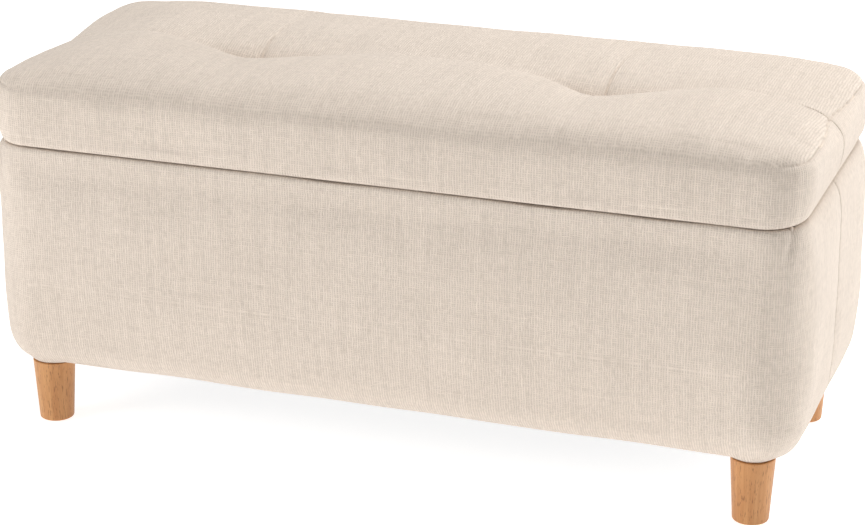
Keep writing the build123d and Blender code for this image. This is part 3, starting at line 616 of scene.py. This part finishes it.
def make_base():
    rings = base_front() + base_back()
    points = np.concatenate([np.column_stack([plan_ring(x, y, radius), np.full(RING_POINTS, z)])
                             for x, y, radius, z in rings])
    faces = []
    for ring in range(len(rings)):
        faces += band(ring * RING_POINTS, (ring + 1) % len(rings) * RING_POINTS, RING_POINTS)
    clear_hinges(points, REAR_RIM, FRONT_RIM, OVER_Z, BASE_Y)
    piece = new_piece("base_upholstery", points, faces, "base", upholstery)
    _, inset, _ = outline_place(points, BASE_X, BASE_Y)
    between = step(points[:, 2], 85 * MM, 125 * MM) * (1 - step(points[:, 2], 285 * MM, 318 * MM))
    free = between * (inset < 16 * MM)
    seamed = bell(points[:, 1], 8 * MM) * (np.abs(points[:, 0]) > BASE_X - CORNER)
    inflate(piece, 1 - free * (1 - 0.6 * seamed), BASE_SWELL, pressure=8.0)
    subdivide(piece)
    settle_on_legs(piece)
    cut_rows(piece, (0, 0, 0), (0, 1, 0), lambda m: abs(m.y) < 12 * MM and abs(m.x) > WOOD.x + MM)
    press_in(piece, base_creases)
    lay_weave(piece, BASE_X, BASE_Y, lambda middles: middles[:, 2] < 0)
    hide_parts("base_cover_front", "base_cover_rear",
                "base_foam_front", "base_foam_rear", "base_foam_left", "base_foam_right")


# ---- Lid: one padded cushion with two tufts ----
EDGE = 30 * MM  # width of the lid's rounded edge, seen from above
LID_PITCH = 6.5 * MM  # between the points of the lid's top, away from the tufts


def lid_plan(gx, gy, inset_x=0.0, inset_y=0.0):
    """Where the lid's grid lines cross, seen from above: the square corners of the grid become round ones."""
    core_x, core_y = LID_X - CORNER, LID_Y - CORNER
    a = np.maximum(np.abs(gx) - core_x, 0) / CORNER
    b = np.maximum(np.abs(gy) - core_y, 0) / CORNER
    reach = np.maximum(a, b)
    most = np.where(reach > 0, reach, 1)
    turn = np.where(a >= b, pi / 4 * b / most, pi / 2 - pi / 4 * a / most)
    x = np.minimum(np.abs(gx), core_x) + (CORNER - inset_x) * reach * np.cos(turn) * (a > 0)
    y = np.minimum(np.abs(gy), core_y) + (CORNER - inset_y) * reach * np.sin(turn) * (b > 0)
    return np.sign(gx) * x, np.sign(gy) * y


def tuft_depth(points):
    """How far the top is pulled down: a pocket at each tuft, a crease along the lid, a valley over the seam.

    The crease is steep on its front side, where the padding rolls over it, and eases away behind it.
    """
    total = 0
    for centre, front in TUFTS:
        dx = np.abs(points[:, 0] - centre)
        dy = points[:, 1] - front * bell(dx, 50 * MM)
        fade = np.exp(-dx / (58 * MM))
        roll = np.where(dy < 0, wedge(dy, 46 * MM), np.exp(-np.abs(dy) / (25 * MM)))
        lengthwise = TUFT_DEPTH * fade * roll
        reach = np.where(dy < 0, 14 * MM, 30 * MM)
        across = 0.55 * TUFT_DEPTH * np.exp(-np.abs(dy) / reach) * wedge(dx, 20 * MM)
        hollow = 9 * MM * bell(np.hypot(dx / 1.5, dy), 60 * MM)
        total = total + (lengthwise**3 + across**3 + hollow**3) ** (1 / 3)
    return np.minimum(total, TUFT_DEPTH)


def lid_height(points):
    """Height of the lid's upper surface: a rounded edge, a crowned top, and the tufts pulled into it."""
    _, inset, angle = outline_place(points, LID_X, LID_Y)
    end = step(pi / 2 - angle, 0, pi / 2)
    darted = end * (0.35 + 0.65 * bell(points[:, 1], 60 * MM))
    width, power = (36 + 14 * darted) * MM, 3 - 1.2 * darted
    rise = (1 - (1 - np.clip(inset / width, 0, 1)) ** power) ** (1 / power)
    fall = step(np.abs(points[:, 0]), LID_X - 130 * MM, LID_X - 25 * MM)
    top = SIDE_TOP_Z + (1 - fall) * CROWN * (1 - (points[:, 1] / LID_Y) ** 2) - 2 * MM * fall
    return WIDEST_Z + (top - WIDEST_Z) * rise - tuft_depth(points)


def lid_creases(points):
    """Every seam of the lid, the darts in its ends and the small wrinkles at its corners."""
    around, inset, angle = outline_place(points, LID_X, LID_Y)
    z, dx = points[:, 2], np.abs(np.abs(points[:, 0]) - TUFT_X)
    above = step(z, SEAM_Z - MM, SEAM_Z + 3 * MM) + (inset > 20 * MM) * (z > WIDEST_Z)
    back = points[:, 1] > TUFTS[0][1]
    behind_tuft = 0.2 + 0.9 * bell(points[:, 1], 60 * MM) * back
    depth = seam(dx, points[:, 1]) * np.minimum(above, 1) * behind_tuft
    end = step(pi / 2 - angle, 0, pi / 2)
    edge = inset < EDGE
    depth += seam((z - SEAM_Z) * (1 + 0.4 * end), around) * edge * end
    depth += flat_seam(z - SEAM_Z) * edge * (1 - end)
    dart = (1 - step(inset, 34 * MM, 52 * MM)) * (np.abs(points[:, 0]) > LID_X - END_REACH)
    depth += seam(points[:, 1], z) * dart * (z > LID_Z + 3 * MM)
    from_corner = (angle - pi / 4) * CORNER
    for drop, shift, size in ((7, 6, 1.3), (13, 0, 1.1), (20, 12, 0.7)):
        line = z - SEAM_Z + drop * MM + 0.12 * from_corner
        place = bell(from_corner - shift * MM, 12 * MM) * (inset < 25 * MM)
        depth += size * MM * wedge(line, 3.5 * MM) * place
    depth += UNEVEN * ripple(around, z, 120 * MM, 8) * (inset < 25 * MM) * (z > LID_Z + 10 * MM)
    depth += UNEVEN * ripple(points[:, 0], points[:, 1], 130 * MM, 3) * (z > SEAM_Z - 12 * MM)
    return depth


def lid_lines():
    """Places of the grid lines along the lid and across it, closer together near the tufts and the edge."""
    rings = np.sin(np.linspace(0, pi / 2, 13))[1:] * CORNER
    lines = []
    for half, dense in ((LID_X, (-TUFT_X, TUFT_X)), (LID_Y, (0.0,))):
        core = half - CORNER
        lines.append(np.concatenate([-(core + rings[::-1]), spaced(core, LID_PITCH, dense), core + rings]))
    return lines


def lid_shell():
    """Points and faces of the closed lid: the top, the sides ring by ring, and the underside."""
    lines = lid_lines()
    gx, gy = (axis.ravel() for axis in np.meshgrid(*lines, indexing="ij"))
    top = np.column_stack([*lid_plan(gx, gy), 0 * gx])
    top[:, 2] = lid_height(top)
    grid = np.arange(len(gx)).reshape(len(lines[0]), len(lines[1]))
    edge = grid_edge(grid)
    points, faces = [top], grid_quads(grid)
    above, total = edge, len(top)
    for angle in np.linspace(0, pi / 2, 14)[1:]:
        z = WIDEST_Z - (WIDEST_Z - LID_UNDER_Z) * sin(angle)
        rise = z - LID_UNDER_Z
        x, y = lid_plan(gx[edge], gy[edge], rounded(rise, END_FOOT), rounded(rise, FRONT_FOOT))
        points.append(np.column_stack([x, y, 0 * x + z]))
        below = total + np.arange(len(edge))
        faces += [(above[i], below[i], below[(i + 1) % len(edge)], above[(i + 1) % len(edge)])
                  for i in range(len(edge))]
        above, total = below, total + len(edge)
    x, y = lid_plan(gx, gy, END_FOOT[0], FRONT_FOOT[0])
    points.append(np.column_stack([x, y, 0 * x + LID_UNDER_Z]))
    foot = total + grid
    foot.ravel()[edge] = above
    return np.concatenate(points), faces + grid_quads(foot, flipped=True)


def drop_unused(points, faces):
    """Leaves out the points that no face uses."""
    used = np.zeros(len(points), bool)
    used[np.unique(np.array(faces))] = True
    renumber = np.cumsum(used) - 1
    return points[used], [tuple(int(renumber[i]) for i in face) for face in faces]


def lid_held(points):
    """How firmly each point is held as the lid swells: fully underneath, in the tufts and their seams."""
    _, inset, _ = outline_place(points, LID_X, LID_Y)
    from_tuft = np.abs(np.abs(points[:, 0]) - TUFT_X)
    pulled = bell(from_tuft, 5 * MM) + step(tuft_depth(points), 5 * MM, 14 * MM)
    sides = points[:, 2] < SEAM_Z
    tight = np.where(sides, 0.7, 0.75 * bell(points[:, 2] - SEAM_Z, 5 * MM)) * (inset < EDGE)
    return np.maximum.reduce([1 - step(points[:, 2], 345 * MM, 362 * MM), np.minimum(pulled, 1), tight])


def sag_lower_edge(piece):
    """Lets the lower edge hang towards the base at the front and the ends."""
    points = points_of(piece.data)
    _, inset, _ = outline_place(points, LID_X, LID_Y)
    low_roll = step(inset, -MM, 2 * MM) * (1 - step(inset, 24 * MM, 34 * MM))
    front = 1 - step(points[:, 1], 90 * MM, 120 * MM)
    low = 1 - step(points[:, 2], LID_Z + 2 * MM, LID_Z + 14 * MM)
    points[:, 2] -= ROLL * low_roll * front * low
    set_points(piece.data, points)


def make_lid():
    points, faces = lid_shell()
    clear_hinges(points, REAR_FOOT, FRONT_FOOT, LID_UNDER_Z, LID_Y)
    points, faces = drop_unused(points, faces)
    piece = new_piece("lid_cushion", points, faces, "lid", upholstery)
    inflate(piece, lid_held(points), LID_SWELL)
    subdivide(piece)
    sag_lower_edge(piece)
    for side in (-TUFT_X, TUFT_X):
        cut_rows(piece, (side, 0, 0), (1, 0, 0), lambda m: abs(m.x - side) < 10 * MM and m.z > WIDEST_Z)
    inner_x, inner_y = LID_X - 32 * MM, LID_Y - 32 * MM
    cut_rows(piece, (0, 0, SEAM_Z), (0, 0, 1),
             lambda m: abs(m.z - SEAM_Z) < 12 * MM and abs(m.x) > inner_x)
    cut_rows(piece, (0, 0, 0), (0, 1, 0),
             lambda m: abs(m.y) < 10 * MM and abs(m.x) > LID_X - END_REACH and m.z > LID_Z + MM)
    press_in(piece, lid_creases)
    lay_weave(piece, LID_X, LID_Y, lambda middles: (middles[:, 2] > SEAM_Z) | (middles[:, 2] < LID_Z + MM)
              | (np.abs(middles[:, 0]) < inner_x) & (np.abs(middles[:, 1]) < inner_y))
    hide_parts("lid_top_panel_left", "lid_top_panel_middle", "lid_top_panel_right",
                "lid_boxing_front", "lid_boxing_rear", "lid_foam")


# ---- Linings and dust cover: thin stretched sheets, stapled where they show ----
SHEETS = {  # node: (axis through the cloth, which side shows, body, slot, what it is fixed to, stapled)
    "lining_front": (1, 1, "base", "lining_cloth", "frame_front_panel", False),
    "lining_rear": (1, -1, "base", "lining_cloth", "frame_rear_panel", False),
    "lining_left": (0, 1, "base", "lining_cloth", "frame_left_panel", False),
    "lining_right": (0, -1, "base", "lining_cloth", "frame_right_panel", False),
    "lining_floor": (2, 1, "base", "lining_cloth", "bottom_board", False),
    "dust_cover": (2, -1, "base", "dust_cover_cloth", "base_upholstery", True),
    "lid_lining": (2, -1, "lid", "lining_cloth", "lid_cushion", True),
}
HEM = 9 * MM
SHEET_PITCH = 6 * MM  # between the points of a sheet
STAPLE_PITCH, STAPLE_LENGTH, STAPLE_WIRE = 58 * MM, 10 * MM, 0.4 * MM
STAPLE_TIP, STAPLE_SHOULDER, STAPLE_BACK = 0.9 * MM, -0.1 * MM, -0.35 * MM  # heights over the cloth's face
STAPLE_TURN = 0.5 * MM  # length of the bend between a staple's leg and its back


def sheet_layers(low, high, axis, side, seed):
    """A sheet's face and back as two grids of points: the back is flat, the face is a little uneven."""
    flat_axes = [i for i in range(3) if i != axis]
    lines = [np.linspace(low[i], high[i], 2 + round((high[i] - low[i]) / SHEET_PITCH)) for i in flat_axes]
    p, q = np.meshgrid(*lines, indexing="ij")
    edge_p = np.minimum(p - lines[0][0], lines[0][-1] - p)
    edge = np.minimum(edge_p, np.minimum(q - lines[1][0], lines[1][-1] - q))
    dents = 0.15 * (1 + ripple(p, q, 90 * MM, seed)) * step(edge, 0, 20 * MM) + 0.3 * bell(edge - HEM, 3 * MM)
    face, back = (high[axis], low[axis]) if side > 0 else (low[axis], high[axis])
    layers = []
    for height in (face - side * np.clip(dents, 0, 0.7) * MM, np.full(p.shape, back)):
        layer = np.zeros((*p.shape, 3))
        layer[..., flat_axes[0]], layer[..., flat_axes[1]], layer[..., axis] = p, q, height
        layers.append(layer)
    return layers


def make_sheet(node, axis, side, body, slot_name, under, stapled):
    """One lining panel, which lies on what is behind it."""
    low, high = (np.array(corner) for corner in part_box(node))
    layers = sheet_layers(low, high, axis, side, len(node))
    shape = layers[0].shape[:2]
    count = shape[0] * shape[1]
    grid = np.arange(count).reshape(shape)
    quads = grid_quads(grid)
    faces = quads + [tuple(count + corner for corner in reversed(quad)) for quad in quads]
    ring = grid_edge(grid)
    faces += [(a, count + a, count + b, b) for a, b in zip(ring, np.roll(ring, -1))]
    points = np.concatenate([layer.reshape(-1, 3) for layer in layers])
    piece = new_piece(node + "_cloth", points, [tuple(map(int, face)) for face in faces], body,
                      MATERIALS[slot_name])
    fix_normals(piece)
    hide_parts(node)
    staples = [make_staples(node, low, high, body)] if stapled else []


def fix_normals(piece):
    """Turns every face of a closed piece outward."""
    shape = bmesh.new()
    shape.from_mesh(piece.data)
    bmesh.ops.recalc_face_normals(shape, faces=shape.faces)
    shape.to_mesh(piece.data)
    shape.free()


def staple_places(low, high):
    """Middles of the staples along a sheet's edges, each with the axis that its edge runs along."""
    places = []
    for axis in (0, 1):
        count = round((high[axis] - low[axis]) / STAPLE_PITCH)
        for part in (np.arange(count) + 0.5) / count:
            for end in (low, high):
                place = [0.0, 0.0]
                place[axis] = low[axis] + (high[axis] - low[axis]) * part
                place[1 - axis] = end[1 - axis]
                places.append((place, axis))
    return places


def make_staples(node, low, high, body):
    """Wire staples along the hem of a sheet that faces down."""
    half = STAPLE_LENGTH / 2
    path = ((-half, STAPLE_TIP), (-half, STAPLE_SHOULDER), (-half + STAPLE_TURN, STAPLE_BACK),
            (half - STAPLE_TURN, STAPLE_BACK), (half, STAPLE_SHOULDER), (half, STAPLE_TIP))
    round_wire = np.linspace(0, 2 * pi, 9)[:-1]
    sides = len(round_wire)
    points, faces = [], []
    for (x, y), axis in staple_places(low + HEM, high - HEM):
        base = len(points)
        for along, rise in path:
            upright = rise != STAPLE_BACK
            for angle in round_wire:
                out, other = STAPLE_WIRE * cos(angle), STAPLE_WIRE * sin(angle)
                offset = [along + (out if upright else 0), other]
                if axis == 1:
                    offset.reverse()
                points.append((x + offset[0], y + offset[1], low[2] + rise + (0 if upright else out)))
        for ring in range(len(path) - 1):
            faces += band(base + ring * sides, base + (ring + 1) * sides, sides)
        faces.append(tuple(base + i for i in range(sides)))
        faces.append(tuple(base + (len(path) - 1) * sides + i for i in range(sides)))
    piece = new_piece(node + "_staples", points, faces, body, MATERIALS["fastener_steel"])
    fix_normals(piece)
    return piece


make_base()
make_lid()
for node, details in SHEETS.items():
    make_sheet(node, *details)


# ---- Floor, light and camera ----
CAMERA, LOOKS_AT, LENS = (0.8862, -2.5201, 1.1827), (0.00225, 0.0, 0.1853), 107.65
FLOOR_REACH = 20.0
LIGHTS = {  # name: (place, what it points at, size, power)
    "end": ((3.3, 1.4, 1.4), (0.2, 0, 0.3), (1.6, 1.6), 46),
    "front": ((-3.0, -2.4, 1.3), (-0.2, 0, 0.25), (2.0, 1.6), 61),
    "top": ((0.8, 0.9, 2.9), (0, 0, 0.4), (1.6, 1.2), 64),
}


def area_light(name, place, target, size, power):
    light = bpy.data.lights.new(name, "AREA")
    light.shape = "RECTANGLE"
    light.size, light.size_y = size
    light.energy = power
    lamp = bpy.data.objects.new(name, light)
    lamp.location = place
    lamp.rotation_euler = (Vector(target) - Vector(place)).to_track_quat("-Z", "Y").to_euler()
    bpy.context.scene.collection.objects.link(lamp)


def make_floor():
    mesh = bpy.data.meshes.new("floor")
    corners = [(x * FLOOR_REACH, y * FLOOR_REACH, 0) for x, y in ((-1, -1), (1, -1), (1, 1), (-1, 1))]
    mesh.from_pydata(corners, [], [(0, 1, 2, 3)])
    paint = Paint("floor", Roughness=0.9, Base_Color=(0.6, 0.6, 0.6, 1), Emission_Color=(1, 1, 1, 1),
                  Emission_Strength=0.82)
    mesh.materials.append(paint.material)
    floor = bpy.data.objects.new("floor", mesh)
    bpy.context.scene.collection.objects.link(floor)


def make_studio():
    scene = bpy.context.scene
    scene.view_settings.view_transform = "Standard"
    world = bpy.data.worlds.new("studio")
    world.use_nodes = True
    world.node_tree.nodes["Background"].inputs["Color"].default_value = (1, 1, 1, 1)
    world.node_tree.nodes["Background"].inputs["Strength"].default_value = 0.25
    scene.world = world
    make_floor()
    for name, details in LIGHTS.items():
        area_light(name, *details)


def make_camera():
    camera = bpy.data.cameras.new("camera")
    camera.sensor_width, camera.lens = 36.0, LENS
    holder = bpy.data.objects.new("camera", camera)
    place, target = Vector(CAMERA), Vector(LOOKS_AT)
    holder.location = place
    holder.rotation_euler = (target - place).to_track_quat("-Z", "Y").to_euler()
    bpy.context.scene.collection.objects.link(holder)
    bpy.context.scene.camera = holder


make_studio()
make_camera()
